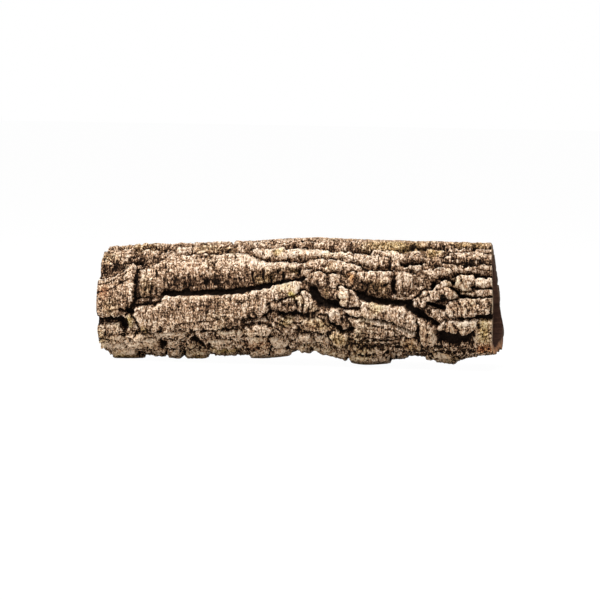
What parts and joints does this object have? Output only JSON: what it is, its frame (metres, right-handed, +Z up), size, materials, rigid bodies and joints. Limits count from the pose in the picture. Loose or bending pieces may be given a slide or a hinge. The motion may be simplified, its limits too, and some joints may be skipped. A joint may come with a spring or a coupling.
{
  "type": "cork bark tube",
  "caption": "Hollow tube of virgin cork bark with deep furrows and raised plates, open at both sawn ends, lying on its side as a hide or decoration.",
  "frame": {"origin": "centre of the box round the tube, at the surface it lies on", "axes": "+X along the tube to its wider, rounded-triangle end, -Y out of its front, +Z up"},
  "size_m": [0.4048, 0.131, 0.1309],
  "materials": {
    "cork_bark": "matt, rough grey-tan virgin cork with dark furrows"
  },
  "bodies": {
    "root": {"bark_tube": "cork_bark"}
  },
  "joints": []
}
